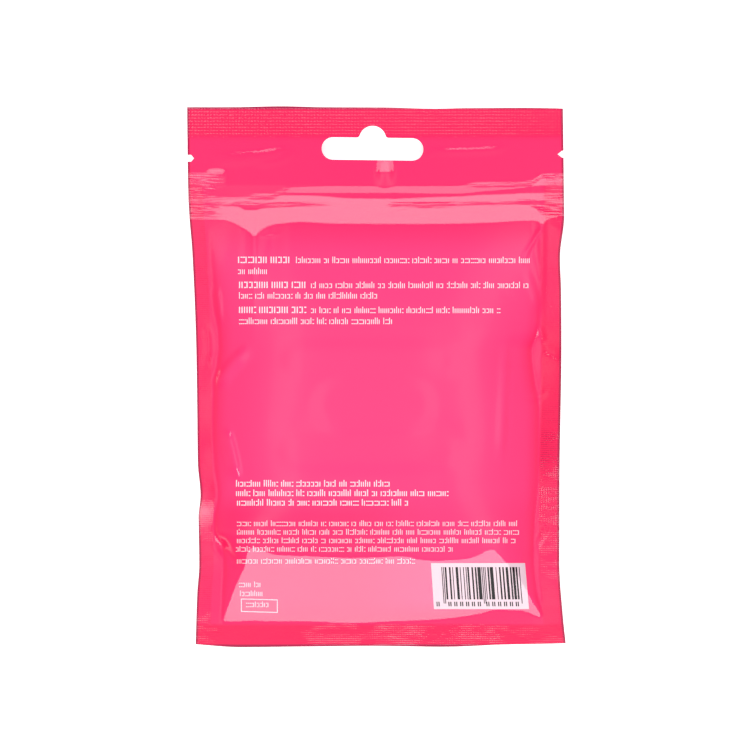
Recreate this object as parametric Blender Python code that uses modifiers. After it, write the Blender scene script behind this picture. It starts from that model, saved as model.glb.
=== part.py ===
"""A sealed zip pouch of pink foil laminate, lying on its front.

Metres, +Z up. The back of the pouch faces +Z, its header is towards +Y, and its
front rests on Z = 0. The pack is sealed all round and can't be seen into, so it
is one solid: two webs of film that meet in the seals and part over the contents.
"""
import math

import bmesh
import bpy
import numpy as np

# Pouch as made, flat
POUCH_WIDTH = 0.120
POUCH_HEIGHT = 0.172
FILM_PAIR = 0.0003          # both webs where they are sealed together
MIDDLE_ASIDE = -0.00045     # middle of the flat pouch, off the middle of the box around it as it lies

# Seals, header and zip, measured in from the cut edges
TOP_SEAL = 0.0096
BOTTOM_SEAL = 0.0070
LEFT_SEAL = 0.0046
RIGHT_SEAL = 0.0064
HEADER = 0.0156             # smooth film between the top seal and the zip
ZIP_WIDTH = 0.0119

# Hang slot: a long round-ended hole with a round bump on its upper side
SLOT_LENGTH = 0.0324
SLOT_HEIGHT = 0.0072
SLOT_BELOW_TOP = 0.0134     # middle of the slot, down from the top edge
SLOT_ASIDE = -0.0008        # middle of the slot, off the middle of the pouch
SLOT_TURN = math.radians(-0.7)
BUMP_RADIUS = 0.0043
BUMP_RISE = 0.0031          # centre of the bump above the middle of the slot
BUMP_FILLET = 0.0010

ARC_STEP = math.radians(20)  # greatest turn between two points of a round stretch

# Sheet and punches, before the two webs take their heights
SHEET_THICKNESS = 0.0020
PUNCH_REACH = 0.0050        # how far a punch runs past the sheet, up and down
WELD = 0.00001              # points closer than this are one

# Tear notches in the two side edges
NOTCH_HEIGHT = 0.0022
LEFT_NOTCH_DEPTH = 0.0023
LEFT_NOTCH_FLAT = 0.0014    # straight part of the notch before its point
LEFT_NOTCH_BELOW_TOP = 0.0164
RIGHT_NOTCH_DEPTH = 0.0018
RIGHT_NOTCH_FLAT = 0.0004
RIGHT_NOTCH_BELOW_TOP = 0.0151

# Heights above the surface that the pouch lies on
SEAL_LEVEL = 0.0074         # middle of the side and bottom seals
HEADER_DROOP = 0.0025       # fall of the seam from the zip to the top edge
CROWN_LEVEL = 0.0143        # raised back, in the middle of the pouch
CROWN_FALL_UP = 0.0041      # fall of the raised back from there to the zip
CROWN_LEVEL_LENGTH = 0.0150  # half the stretch above the middle in which that fall sets in
CROWN_FALL_DOWN = 0.0059    # fall from the middle to the bottom edge, taken without the slope

# Slopes of the webs, from a seal to the raised part
BACK_SLOPE_LEFT = 0.0200
BACK_SLOPE_RIGHT = 0.0190
BACK_SLOPE_BOTTOM = 0.0205
FRONT_SLOPE_SIDE = 0.0200
FRONT_SLOPE_TOP = 0.0250
FRONT_SLOPE_BOTTOM = 0.0290
SETTLING = 0.0260           # stretch below the zip in which the back comes to rest on the contents

# Roundness of the slopes, as shares of a slope: at the seal, at the raised part, at the hips
BACK_SIDE_FOOT = 0.12
BACK_SIDE_BROW = 0.85
BACK_BOTTOM_FOOT = 0.06
BACK_BOTTOM_BROW = 0.12
BACK_HIP = 0.06
FRONT_FOOT = 0.12
FRONT_BROW = 0.75
FRONT_HIP = 0.30

# Zip: its strips lift the seam along a slope that is level for a moment in two creases
ZIP_RISE = 0.0031           # from the header to the zip's lower edge
ZIP_CREASE_RECOVERY = 0.3   # extra slope below a crease, as a share of the zip's slope
# Share of the width, and how far down the slope starts from the header's lower edge
ZIP_SLOPE_START = ((0.00, 0.0022), (0.08, 0.0030), (0.23, 0.0029), (0.27, 0.0005), (0.38, 0.0001),
                   (0.70, 0.0001), (0.91, -0.0006), (0.96, -0.0018), (1.00, -0.0028))
# Share of the width, and how far down it ends: the lower edge, with a dent near the left
ZIP_SLOPE_END = ((0.00, 0.0104), (0.10, 0.0105), (0.14, 0.0122), (0.17, 0.0142), (0.182, 0.0156),
                 (0.192, 0.0144), (0.213, 0.0128), (0.25, 0.0116), (0.30, 0.0113), (0.62, 0.0119),
                 (0.78, 0.0114), (0.91, 0.0109), (0.94, 0.0124), (0.96, 0.0112), (1.00, 0.0098))
# Share of the width, and where a crease begins and how wide it is, down from the header
ZIP_UPPER_CREASE = ((0.00, 0.0024, 0.0000), (0.22, 0.0024, 0.0000), (0.25, 0.0020, 0.0014),
                    (0.38, 0.0020, 0.0016), (0.57, 0.0021, 0.0016), (0.63, 0.0026, 0.0009),
                    (0.72, 0.0029, 0.0006), (0.86, 0.0019, 0.0007), (1.00, 0.0006, 0.0008))
ZIP_LOWER_CREASE = ((0.00, 0.0053, 0.0000), (0.14, 0.0054, 0.0000), (0.16, 0.0054, 0.0018),
                    (0.21, 0.0054, 0.0018), (0.23, 0.0056, 0.0003), (0.37, 0.0056, 0.0000),
                    (0.53, 0.0057, 0.0000), (0.60, 0.0056, 0.0016), (0.67, 0.0056, 0.0016),
                    (0.70, 0.0055, 0.0009), (0.94, 0.0049, 0.0006), (1.00, 0.0050, 0.0000))

# Side edges as they lie, pulled in by the contents: share of the height, pull
LEFT_PULL = ((0.00, 0.0028), (0.10, 0.0034), (0.15, 0.0040), (0.24, 0.0038), (0.28, 0.0045),
             (0.34, 0.0036), (0.55, 0.0031), (0.72, 0.0020), (0.84, 0.0005), (1.00, 0.0000))
RIGHT_PULL = ((0.00, -0.0009), (0.06, 0.0002), (0.16, 0.0013), (0.30, 0.0012), (0.55, 0.0006),
              (0.66, 0.0008), (0.72, 0.0012), (0.80, -0.0002), (1.00, 0.0000))

# Cut ends, which bow a little: share of the width, shift up
TOP_BOW = ((0.00, 0.0000), (0.12, 0.0000), (0.25, 0.0003), (0.36, 0.0000), (0.53, -0.0001),
           (0.66, -0.0005), (0.74, -0.0003), (0.90, -0.0002), (1.00, -0.0004))
BOTTOM_BOW = ((0.00, 0.0008), (0.12, 0.0000), (0.30, 0.0002), (0.48, 0.0004), (0.67, 0.0001),
              (0.83, 0.0006), (1.00, 0.0010))

# Buckles of the side seals, up or down: share of the height, rise, reach
LEFT_BUCKLES = ((0.10, 0.0005, 0.008), (0.185, -0.0004, 0.007), (0.28, 0.0006, 0.009),
                (0.42, -0.0005, 0.012), (0.56, 0.0005, 0.012))
RIGHT_BUCKLES = ((0.09, -0.0004, 0.008), (0.22, 0.0005, 0.011), (0.36, -0.0005, 0.010),
                 (0.53, 0.0006, 0.009), (0.66, -0.0005, 0.009))
BUCKLE_REACH_IN = 0.011     # how far in from the edge a buckle runs out

# Line where the bottom slope starts, above the bottom seal: share of the width, distance
FOOT_RISE = ((0.00, -0.0016), (0.08, -0.0014), (0.30, -0.0009), (0.51, -0.0004), (0.78, 0.0012),
             (0.89, 0.0014), (0.95, -0.0010), (1.00, -0.0016))

# Folds on the back: start and end as shares of the width and height, half width, rise
BACK_FOLDS = (
    ((0.070, 0.479), (0.174, 0.566), 0.0026, 0.0011),
    ((0.105, 0.415), (0.142, 0.309), 0.0024, 0.0008),
    ((0.078, 0.208), (0.150, 0.141), 0.0026, -0.0008),
    ((0.941, 0.779), (0.880, 0.701), 0.0020, 0.0005),
    ((0.941, 0.556), (0.999, 0.534), 0.0022, 0.0005),
    ((0.959, 0.383), (0.962, 0.183), 0.0022, 0.0005),
    ((0.885, 0.188), (0.917, 0.064), 0.0026, -0.0005),
)

# Lobes of the contents, felt through the back: share of width and height, reaches, rise
BACK_LOBES = (
    ((0.349, 0.545), 0.0090, 0.0090, 0.00055),
    ((0.598, 0.549), 0.0090, 0.0090, 0.00055),
    ((0.474, 0.558), 0.0040, 0.0090, -0.00025),
    ((0.301, 0.410), 0.0080, 0.0070, -0.00035),
    ((0.492, 0.382), 0.0090, 0.0060, -0.00040),
    ((0.673, 0.410), 0.0080, 0.0070, -0.00035),
    ((0.301, 0.271), 0.0100, 0.0090, 0.00025),
    ((0.712, 0.308), 0.0090, 0.0120, 0.00025),
)

# Greatest spacing of the mesh's rows and columns in each stretch
SEAL_SPACING = 0.0034
SLOPE_SPACING = 0.0026
BACK_SPACING = 0.0036
BACK_SPACING_ACROSS = 0.0032
UNDER_ZIP_SPACING = 0.0016
ZIP_SPACING = 0.00075
HEADER_SPACING = 0.0023
DENT_SPACING = 0.0015
# Stretches with their own spacing
UNDER_ZIP = 0.0090          # below the zip
DENT_FROM_EDGE = 0.0110     # from the left edge to the dent in the zip's lower edge
DENT_WIDTH = 0.0160

HALF_WIDTH = POUCH_WIDTH / 2
HALF_HEIGHT = POUCH_HEIGHT / 2
ZIP_TOP = HALF_HEIGHT - TOP_SEAL - HEADER
ZIP_BOTTOM = ZIP_TOP - ZIP_WIDTH


def through(stations, places):
    """A smooth curve through (place, value) stations that never overshoots them."""
    at, value = np.array(stations, dtype=float).T
    chord = np.diff(value) / np.diff(at)
    before, after = chord[:-1], chord[1:]
    turning = before * after <= 0
    total = np.where(turning, 1, before + after)
    inner = np.where(turning, 0, 2 * before * after / total)
    slope = np.concatenate((chord[:1], inner, chord[-1:]))
    left = np.clip(np.searchsorted(at, places) - 1, 0, len(at) - 2)
    span = at[left + 1] - at[left]
    t = np.clip((places - at[left]) / span, 0, 1)
    from_left = (1 + 2 * t) * (1 - t) ** 2 * value[left] + t * (1 - t) ** 2 * span * slope[left]
    from_right = t * t * (3 - 2 * t) * value[left + 1] - t * t * (1 - t) * span * slope[left + 1]
    return from_left + from_right


def bell(distance, reach):
    return np.exp(-(distance / reach) ** 2)


def ease(t):
    t = np.clip(t, 0, 1)
    return t * t * (3 - 2 * t)


def ramp(t, foot, brow):
    """0 to 1 along a straight slope, rounded over foot at its start and brow at its end."""
    steep = 1 / (1 - (foot + brow) / 2)
    at_foot = steep * t * t / (2 * foot)
    straight = steep * (t - foot / 2)
    at_brow = 1 - steep * (1 - t) ** 2 / (2 * brow)
    return np.where(t <= 0, 0, np.where(t < foot, at_foot,
                    np.where(t < 1 - brow, straight, np.where(t < 1, at_brow, 1))))


def soft_min(a, b, blend):
    mix = np.clip(0.5 + 0.5 * (b - a) / blend, 0, 1)
    return b * (1 - mix) + a * mix - blend * mix * (1 - mix)


def share_up(y):
    return (y + HALF_HEIGHT) / POUCH_HEIGHT


def share_across(x):
    return (x - MIDDLE_ASIDE + HALF_WIDTH) / POUCH_WIDTH


def across(share):
    return MIDDLE_ASIDE + (share - 0.5) * POUCH_WIDTH


def up(share):
    return (share - 0.5) * POUCH_HEIGHT


def left_edge(y):
    return MIDDLE_ASIDE - HALF_WIDTH + through(LEFT_PULL, share_up(y))


def right_edge(y):
    return MIDDLE_ASIDE + HALF_WIDTH - through(RIGHT_PULL, share_up(y))


def along_width(stations, x, column=1):
    """One value of the stations, read at x."""
    return through([(station[0], station[column]) for station in stations], share_across(x))


def crease_fall(down, stations, slope, x):
    """How far the surface lies under its slope, from a level crease down to where it is back."""
    begin = along_width(stations, x)
    width = along_width(stations, x, 2)
    fall = slope * np.clip(down - begin, 0, width)
    recovered = slope * ZIP_CREASE_RECOVERY * np.maximum(down - begin - width, 0)
    return np.maximum(fall - recovered, 0)


def zip_lift(x, y):
    """Rise of the seam over the zip."""
    down = ZIP_TOP - y
    slope = ZIP_RISE / ZIP_WIDTH
    start = along_width(ZIP_SLOPE_START, x)
    end = along_width(ZIP_SLOPE_END, x)
    climb = slope * (np.clip(down, start, end) - start)
    upper = crease_fall(down, ZIP_UPPER_CREASE, slope, x)
    lower = crease_fall(down, ZIP_LOWER_CREASE, slope, x)
    return climb - upper - lower


def seam_level(x, y):
    """Height of the surface half way between the two webs."""
    header = SEAL_LEVEL - HEADER_DROOP * np.maximum(y - ZIP_TOP, 0) / (HEADER + TOP_SEAL)
    lift = zip_lift(x, y) * (1 - ease((ZIP_BOTTOM - y) / (HALF_HEIGHT / 2)))
    from_left = (x - left_edge(y)) / BUCKLE_REACH_IN
    from_right = (right_edge(y) - x) / BUCKLE_REACH_IN
    buckle = np.zeros_like(x)
    for inward, waves in ((from_left, LEFT_BUCKLES), (from_right, RIGHT_BUCKLES)):
        fade = 1 - ease(inward)
        for place, rise, reach in waves:
            buckle += fade * rise * bell(y - up(place), reach)
    return header + lift + buckle


def crown(y):
    """Top of the raised back along its middle: a slope down to the zip and a bow down to the bottom."""
    above = np.maximum(y, 0)
    setting_in = 2 * CROWN_LEVEL_LENGTH
    slope = CROWN_FALL_UP / (ZIP_BOTTOM - CROWN_LEVEL_LENGTH)
    bow = slope * above ** 2 / (2 * setting_in)
    upper_fall = np.where(above < setting_in, bow, slope * (above - CROWN_LEVEL_LENGTH))
    lower_fall = CROWN_FALL_DOWN * (np.minimum(y, 0) / HALF_HEIGHT) ** 2
    return CROWN_LEVEL - upper_fall - lower_fall


def contents_share(x, y):
    """0 on the seals and 1 where the back lies on the contents."""
    left = (x - left_edge(y) - LEFT_SEAL) / BACK_SLOPE_LEFT
    right = (right_edge(y) - RIGHT_SEAL - x) / BACK_SLOPE_RIGHT
    lower = (y + HALF_HEIGHT - BOTTOM_SEAL - along_width(FOOT_RISE, x)) / BACK_SLOPE_BOTTOM
    sides = ramp(soft_min(left, right, BACK_HIP), BACK_SIDE_FOOT, BACK_SIDE_BROW)
    return np.clip(soft_min(sides, ramp(lower, BACK_BOTTOM_FOOT, BACK_BOTTOM_BROW), BACK_HIP), 0, 1)


def fold_height(x, y, fold):
    """A straight fold that thins out towards both ends."""
    (u0, v0), (u1, v1), half_width, rise = fold
    x0, y0 = across(u0), up(v0)
    x1, y1 = across(u1), up(v1)
    length = math.hypot(x1 - x0, y1 - y0)
    along = ((x - x0) * (x1 - x0) + (y - y0) * (y1 - y0)) / length
    aside = ((x - x0) * (y1 - y0) - (y - y0) * (x1 - x0)) / length
    taper = ease(along / (length / 2)) * ease((length - along) / (length / 2))
    return rise * taper * bell(aside, half_width)


def back_height(x, y):
    zip_edge = ZIP_TOP - along_width(ZIP_SLOPE_END, x)
    low = seam_level(x, y) + FILM_PAIR / 2
    at_edge = seam_level(x, zip_edge) + FILM_PAIR / 2
    settling = 1 - ease((zip_edge - y) / SETTLING)
    high = crown(y) + (at_edge - crown(zip_edge)) * settling
    for (u, v), reach_across, reach_up, rise in BACK_LOBES:
        high = high + rise * bell(x - across(u), reach_across) * bell(y - up(v), reach_up)
    share = np.where(y < zip_edge, contents_share(x, y), 0)
    folds = sum(fold_height(x, y, fold) for fold in BACK_FOLDS)
    return low + (high - low) * share + folds


def bearing_share(x, y):
    """0 on the seals and 1 where the front bears on the surface."""
    left = (x - left_edge(y) - LEFT_SEAL) / FRONT_SLOPE_SIDE
    right = (right_edge(y) - RIGHT_SEAL - x) / FRONT_SLOPE_SIDE
    upper = (ZIP_BOTTOM - y) / FRONT_SLOPE_TOP
    lower = (y + HALF_HEIGHT - BOTTOM_SEAL) / FRONT_SLOPE_BOTTOM
    sides = soft_min(left, right, FRONT_HIP)
    ends = soft_min(upper, lower, FRONT_HIP)
    return ramp(soft_min(sides, ends, FRONT_HIP), FRONT_FOOT, FRONT_BROW)


def front_height(x, y):
    """The front rests on the surface, so its raised part is flat at Z = 0."""
    low = seam_level(x, y) - FILM_PAIR / 2
    return low * (1 - bearing_share(x, y))


def spaced(stretches):
    """Grid lines along one side: each stretch has a length and a greatest spacing."""
    lines = [0.0]
    for length, spacing in stretches:
        steps = max(1, math.ceil(length / spacing))
        start = lines[-1]
        lines.extend(start + length * (step + 1) / steps for step in range(steps))
    return np.array(lines)


def flat_sheet():
    """The cut outline as a flat grid, with closer rows and columns where the film bends."""
    ends = BOTTOM_SEAL + BACK_SLOPE_BOTTOM + UNDER_ZIP + ZIP_WIDTH + HEADER + TOP_SEAL
    rows = spaced(((BOTTOM_SEAL, SEAL_SPACING), (BACK_SLOPE_BOTTOM, SLOPE_SPACING),
                   (POUCH_HEIGHT - ends, BACK_SPACING), (UNDER_ZIP, UNDER_ZIP_SPACING),
                   (ZIP_WIDTH, ZIP_SPACING), (HEADER, HEADER_SPACING), (TOP_SEAL, SEAL_SPACING)))
    sides = DENT_FROM_EDGE + DENT_WIDTH + BACK_SLOPE_RIGHT + RIGHT_SEAL
    columns = spaced(((LEFT_SEAL, SEAL_SPACING), (DENT_FROM_EDGE - LEFT_SEAL, SLOPE_SPACING),
                      (DENT_WIDTH, DENT_SPACING), (POUCH_WIDTH - sides, BACK_SPACING_ACROSS),
                      (BACK_SLOPE_RIGHT, SLOPE_SPACING), (RIGHT_SEAL, SEAL_SPACING)))
    bpy.ops.mesh.primitive_grid_add(x_subdivisions=len(columns) - 1, y_subdivisions=len(rows) - 1, size=1)
    sheet = bpy.context.object
    for vertex in sheet.data.vertices:
        column = round((vertex.co.x + 0.5) * (len(columns) - 1))
        row = round((vertex.co.y + 0.5) * (len(rows) - 1))
        share = columns[column] / POUCH_WIDTH
        y = rows[row] - HALF_HEIGHT
        y += through(TOP_BOW, share) * ease((y - ZIP_TOP) / (HEADER + TOP_SEAL))
        y += through(BOTTOM_BOW, share) * ease(1 - rows[row] / (2 * BOTTOM_SEAL))
        left, right = left_edge(y), right_edge(y)
        vertex.co = (left + (right - left) * share, y, 0)
    return sheet


def arc(centre, radius, start, end):
    steps = math.ceil(abs(end - start) / ARC_STEP)
    return [(centre[0] + radius * math.cos(start + (end - start) * step / steps),
             centre[1] + radius * math.sin(start + (end - start) * step / steps))
            for step in range(steps + 1)]


def slot_outline():
    """Round-ended slot with a round bump on top, and a fillet where they meet."""
    end = SLOT_HEIGHT / 2
    reach = SLOT_LENGTH / 2 - end
    fillet_up = end + BUMP_FILLET - BUMP_RISE
    fillet_out = math.sqrt((BUMP_RADIUS + BUMP_FILLET) ** 2 - fillet_up ** 2)
    meet = math.atan2(fillet_up, fillet_out)
    points = arc((reach, 0), end, -math.pi / 2, math.pi / 2)
    points += arc((fillet_out, end + BUMP_FILLET), BUMP_FILLET, -math.pi / 2, -math.pi + meet)
    points += arc((0, BUMP_RISE), BUMP_RADIUS, meet, math.pi - meet)
    points += arc((-fillet_out, end + BUMP_FILLET), BUMP_FILLET, -meet, -math.pi / 2)
    points += arc((-reach, 0), end, math.pi / 2, 3 * math.pi / 2)
    return points


def notch_outline(depth, flat, inward):
    """A notch open to the side edge: straight sides, then a point."""
    outside = -depth
    half = NOTCH_HEIGHT / 2
    points = [(outside, -half), (flat, -half), (depth, 0), (flat, half), (outside, half)]
    return [(inward * x, y) for x, y in points]


def cutter(name, outline, place, turn, cutters):
    """A punch: a filled flat outline with some thickness, made a closed mesh."""
    curve = bpy.data.curves.new(name + "_outline", "CURVE")
    curve.dimensions = "2D"
    curve.fill_mode = "BOTH"
    curve.extrude = PUNCH_REACH
    spline = curve.splines.new("POLY")
    spline.points.add(len(outline) - 1)
    for point, (x, y) in zip(spline.points, outline):
        point.co = (x, y, 0, 1)
    spline.use_cyclic_u = True
    drawn = bpy.data.objects.new(name + "_curve", curve)
    bpy.context.scene.collection.objects.link(drawn)
    mesh = bpy.data.meshes.new_from_object(drawn.evaluated_get(bpy.context.evaluated_depsgraph_get()))
    bpy.data.objects.remove(drawn)
    shape = bmesh.new()
    shape.from_mesh(mesh)
    bmesh.ops.remove_doubles(shape, verts=shape.verts, dist=WELD)
    bmesh.ops.recalc_face_normals(shape, faces=shape.faces)
    shape.to_mesh(mesh)
    shape.free()
    punch = bpy.data.objects.new(name, mesh)
    punch.location = (place[0], place[1], 0)
    punch.rotation_euler.z = turn
    punch.hide_render = True
    punch.display_type = "WIRE"
    cutters.objects.link(punch)
    return punch


def punched(sheet, punches):
    """The sheet with its slot and notches cut out, as one flat layer of triangles."""
    slab = sheet.modifiers.new("thickness", "SOLIDIFY")
    slab.thickness = SHEET_THICKNESS
    slab.offset = 0
    for punch in punches:
        cut = sheet.modifiers.new(punch.name, "BOOLEAN")
        cut.operation = "DIFFERENCE"
        cut.solver = "EXACT"
        cut.object = punch
    solid = bpy.data.meshes.new_from_object(sheet.evaluated_get(bpy.context.evaluated_depsgraph_get()))
    layer = bmesh.new()
    layer.from_mesh(solid)
    others = [face for face in layer.faces if face.normal.z < 0.5]
    bmesh.ops.delete(layer, geom=others, context="FACES")
    for vertex in layer.verts:
        vertex.co.z = 0
    bmesh.ops.triangulate(layer, faces=layer.faces)
    return layer


def raised(layer, name):
    """Two webs from the one layer: a copy is extruded, then each web takes its own height."""
    grown = bmesh.ops.extrude_face_region(layer, geom=layer.faces[:])
    back = {item for item in grown["geom"] if isinstance(item, bmesh.types.BMVert)}
    front = [vertex for vertex in layer.verts if vertex not in back]
    for web, height in ((list(back), back_height), (front, front_height)):
        x = np.array([vertex.co.x for vertex in web])
        y = np.array([vertex.co.y for vertex in web])
        for vertex, z in zip(web, height(x, y)):
            vertex.co.z = z
    bmesh.ops.recalc_face_normals(layer, faces=layer.faces)
    mesh = bpy.data.meshes.new(name)
    layer.to_mesh(mesh)
    layer.free()
    mesh.shade_smooth()
    mesh.set_sharp_from_angle(angle=math.radians(40))
    return bpy.data.objects.new(name, mesh)


def foil_laminate():
    """Pink ink behind gloss film on a metallised web."""
    material = bpy.data.materials.new("pink foil laminate")
    material.use_nodes = True
    surface = material.node_tree.nodes["Principled BSDF"]
    surface.inputs["Base Color"].default_value = (0.98, 0.035, 0.155, 1)
    surface.inputs["Metallic"].default_value = 0.3
    surface.inputs["Roughness"].default_value = 0.3
    return material


def main():
    for old in list(bpy.data.objects):
        bpy.data.objects.remove(old)
    pouch = bpy.data.collections.new("zip_pouch")
    cutters = bpy.data.collections.new("cutters")
    bpy.context.scene.collection.children.link(pouch)
    bpy.context.scene.collection.children.link(cutters)

    slot_place = (MIDDLE_ASIDE + SLOT_ASIDE, HALF_HEIGHT - SLOT_BELOW_TOP)
    left_place = (MIDDLE_ASIDE - HALF_WIDTH, HALF_HEIGHT - LEFT_NOTCH_BELOW_TOP)
    left_notch = notch_outline(LEFT_NOTCH_DEPTH, LEFT_NOTCH_FLAT, 1)
    right_place = (MIDDLE_ASIDE + HALF_WIDTH, HALF_HEIGHT - RIGHT_NOTCH_BELOW_TOP)
    right_notch = notch_outline(RIGHT_NOTCH_DEPTH, RIGHT_NOTCH_FLAT, -1)
    punches = [
        cutter("hang_slot_punch", slot_outline(), slot_place, SLOT_TURN, cutters),
        cutter("left_notch_punch", left_notch, left_place, 0, cutters),
        cutter("right_notch_punch", right_notch, right_place, 0, cutters),
    ]
    sheet = flat_sheet()
    layer = punched(sheet, punches)
    bpy.data.objects.remove(sheet)
    body = raised(layer, "sealed_pouch")
    body.data.materials.append(foil_laminate())
    pouch.objects.link(body)


main()
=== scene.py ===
"""Looks of a sealed zip pouch of pink foil laminate, seen from above on a white floor.

The two webs of film, the crimped seals, the zip's ridges and the folds are one closed
skin, shaped in millimetres here and handed to Blender in metres. The print lies on it.
Pixels are columns and rows of the photograph, which spot() turns into millimetres.
"""
import math
import random

import bmesh
import bpy
import numpy as np
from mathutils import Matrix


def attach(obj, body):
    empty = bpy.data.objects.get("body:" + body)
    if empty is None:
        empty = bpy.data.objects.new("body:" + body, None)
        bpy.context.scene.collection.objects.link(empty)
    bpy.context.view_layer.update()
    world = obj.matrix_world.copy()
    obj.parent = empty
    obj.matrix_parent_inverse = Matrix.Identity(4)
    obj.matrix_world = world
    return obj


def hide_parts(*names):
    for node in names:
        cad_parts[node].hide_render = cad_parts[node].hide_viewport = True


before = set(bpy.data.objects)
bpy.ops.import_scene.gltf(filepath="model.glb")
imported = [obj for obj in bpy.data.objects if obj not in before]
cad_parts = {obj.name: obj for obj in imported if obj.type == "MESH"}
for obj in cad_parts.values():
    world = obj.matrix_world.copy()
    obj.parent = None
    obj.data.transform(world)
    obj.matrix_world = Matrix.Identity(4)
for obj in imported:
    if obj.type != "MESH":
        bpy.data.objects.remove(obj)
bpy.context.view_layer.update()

MM = 0.001
FAR = 1e9

# The flat pouch, in millimetres from its middle; +Y runs towards the hang slot
WIDTH = 120.0
HEIGHT = 172.0
MIDDLE = -0.45  # middle of the flat pouch, along X
TOP_SEAL = 9.6
HEADER = 15.6
ZIP = 11.9
BOTTOM_SEAL = 7.0
LEFT_SEAL = 4.6
RIGHT_SEAL = 6.4
FILM_PAIR = 0.3  # both webs together, where they are welded
HALF_WIDTH = WIDTH / 2
TOP = HEIGHT / 2
ZIP_TOP = TOP - TOP_SEAL - HEADER
ZIP_BOTTOM = ZIP_TOP - ZIP
SEAL_LEVEL = 7.4  # height of the side and bottom seals above the floor

# The photograph and the camera
PIXEL = 0.3186  # millimetres a pixel, at the pouch
PHOTO_SIZE = 750
PHOTO_MIDDLE = (375.0, 376.5)
CAMERA_HEIGHT = 1200.0  # above the seals, in millimetres
CAMERA_Y = 0.5
SENSOR = 36
CLIP_NEAR = 0.01  # in metres
CLIP_FAR = 20

# Hang slot and tear notches
SLOT_LENGTH = 32.4
SLOT_HEIGHT = 7.2
SLOT_PLACE = (-1.25, 72.6)
SLOT_TURN = math.radians(-0.7)
BUMP_RADIUS = 4.3
BUMP_RISE = 3.1
BUMP_FILLET = 1.0
END_STEPS = 20
BUMP_STEPS = 28
FILLET_STEPS = 6
NOTCH_HEIGHT = 2.2
LEFT_NOTCH = {"depth": 2.3, "flat": 1.4, "y": TOP - 16.4}
RIGHT_NOTCH = {"depth": 1.8, "flat": 0.4, "y": TOP - 15.1}

# Side edges pulled in by the contents: share of the height, pull
LEFT_PULL = ((0.00, 2.8), (0.10, 3.4), (0.15, 4.0), (0.24, 3.8), (0.28, 4.5), (0.34, 3.6),
             (0.55, 3.1), (0.72, 2.0), (0.84, 0.5), (1.00, 0.0))
RIGHT_PULL = ((0.00, -0.9), (0.06, 0.2), (0.16, 1.3), (0.30, 1.2), (0.55, 0.6),
              (0.66, 0.8), (0.72, 1.2), (0.80, -0.2), (1.00, 0.0))
# End edges bowed along Y: share of the width, shift
TOP_BOW = ((0.00, 0.0), (0.12, 0.0), (0.25, 0.3), (0.36, 0.0), (0.53, -0.1), (0.66, -0.5),
           (0.74, -0.3), (0.90, -0.2), (1.00, -0.4))
BOTTOM_BOW = ((0.00, 0.7), (0.12, -0.2), (0.30, 0.0), (0.48, 0.2), (0.67, -0.1), (0.83, 0.6),
              (1.00, 1.0))

# Grid of the skin: stretches with closer lines, and the greatest step in each stretch
BOTTOM_SLOPE = 22.9  # above the bottom seal
CLOSE_ROWS = 9.0  # below the zip, for the dent in its lower edge
CLOSE_COLUMNS = 22.0  # along each side, for the folds
SEAL_STEP = 0.5
SLOPE_STEP = 0.6
BACK_STEP = 1.0
DENT_STEP = 0.4
ZIP_STEP = 0.25
HEADER_STEP = 0.6
SIDE_STEP = 0.5
SHEET_DEPTH = 2.0  # of the slab that the slot and the notches are cut from
PUNCH_REACH = 5.0
WELD_DISTANCE = 0.001
FILM_SMOOTH_ANGLE = math.radians(50)

# Buckles of the side edges: share of the height, rise, reach along the edge
LEFT_BUCKLES = ((0.10, 0.2, 8.0), (0.185, -0.3, 7.0), (0.273, 1.3, 6.5), (0.335, 0.9, 12.0),
                (0.42, -0.5, 12.0), (0.56, 0.5, 12.0))
RIGHT_BUCKLES = ((0.09, -0.4, 8.0), (0.22, 0.5, 11.0), (0.36, -0.5, 10.0), (0.53, 0.6, 9.0),
                 (0.66, -0.2, 9.0))
BUCKLE_REACH_IN = 11.0
# How far the right seal hangs down at its cut edge: pixel row, fall
RIGHT_DROOP = ((95, 0.0), (300, 0.0), (335, 0.6), (360, 1.0), (440, 1.0), (480, 0.7),
               (520, 0.3), (560, 0.0), (650, 0.0))

# The zip
HEADER_LEAN = 0.10
ZIP_LEAN = 0.22
LOWER_STRIP_LEAN = 0.07  # what the lower strip of the zip leans more
LOWER_STRIP_START = 6.3
LIFT_HOLD = 4.0  # below the zip, where its lift starts to fade
# where its pale slope starts and ends: pixel column, millimetres down from its upper edge
ZIP_START = ((190, 2.2), (215, 3.5), (270, 3.4), (290, 0.5), (330, 0.1), (450, 0.1),
             (470, -0.1), (530, -0.6), (541, -2.6), (551, -3.0), (563, -2.6))
ZIP_END = (
    (190, 10.9), (222, 11.0), (240, 12.9), (250, 14.7), (255, 16.1), (259, 14.7), (267, 13.0),
    (282, 12.1), (300, 11.7), (340, 12.2), (420, 12.3), (480, 12.0), (530, 11.3), (536, 11.3),
    (541, 12.4), (547, 10.9), (563, 9.4),
)
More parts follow.
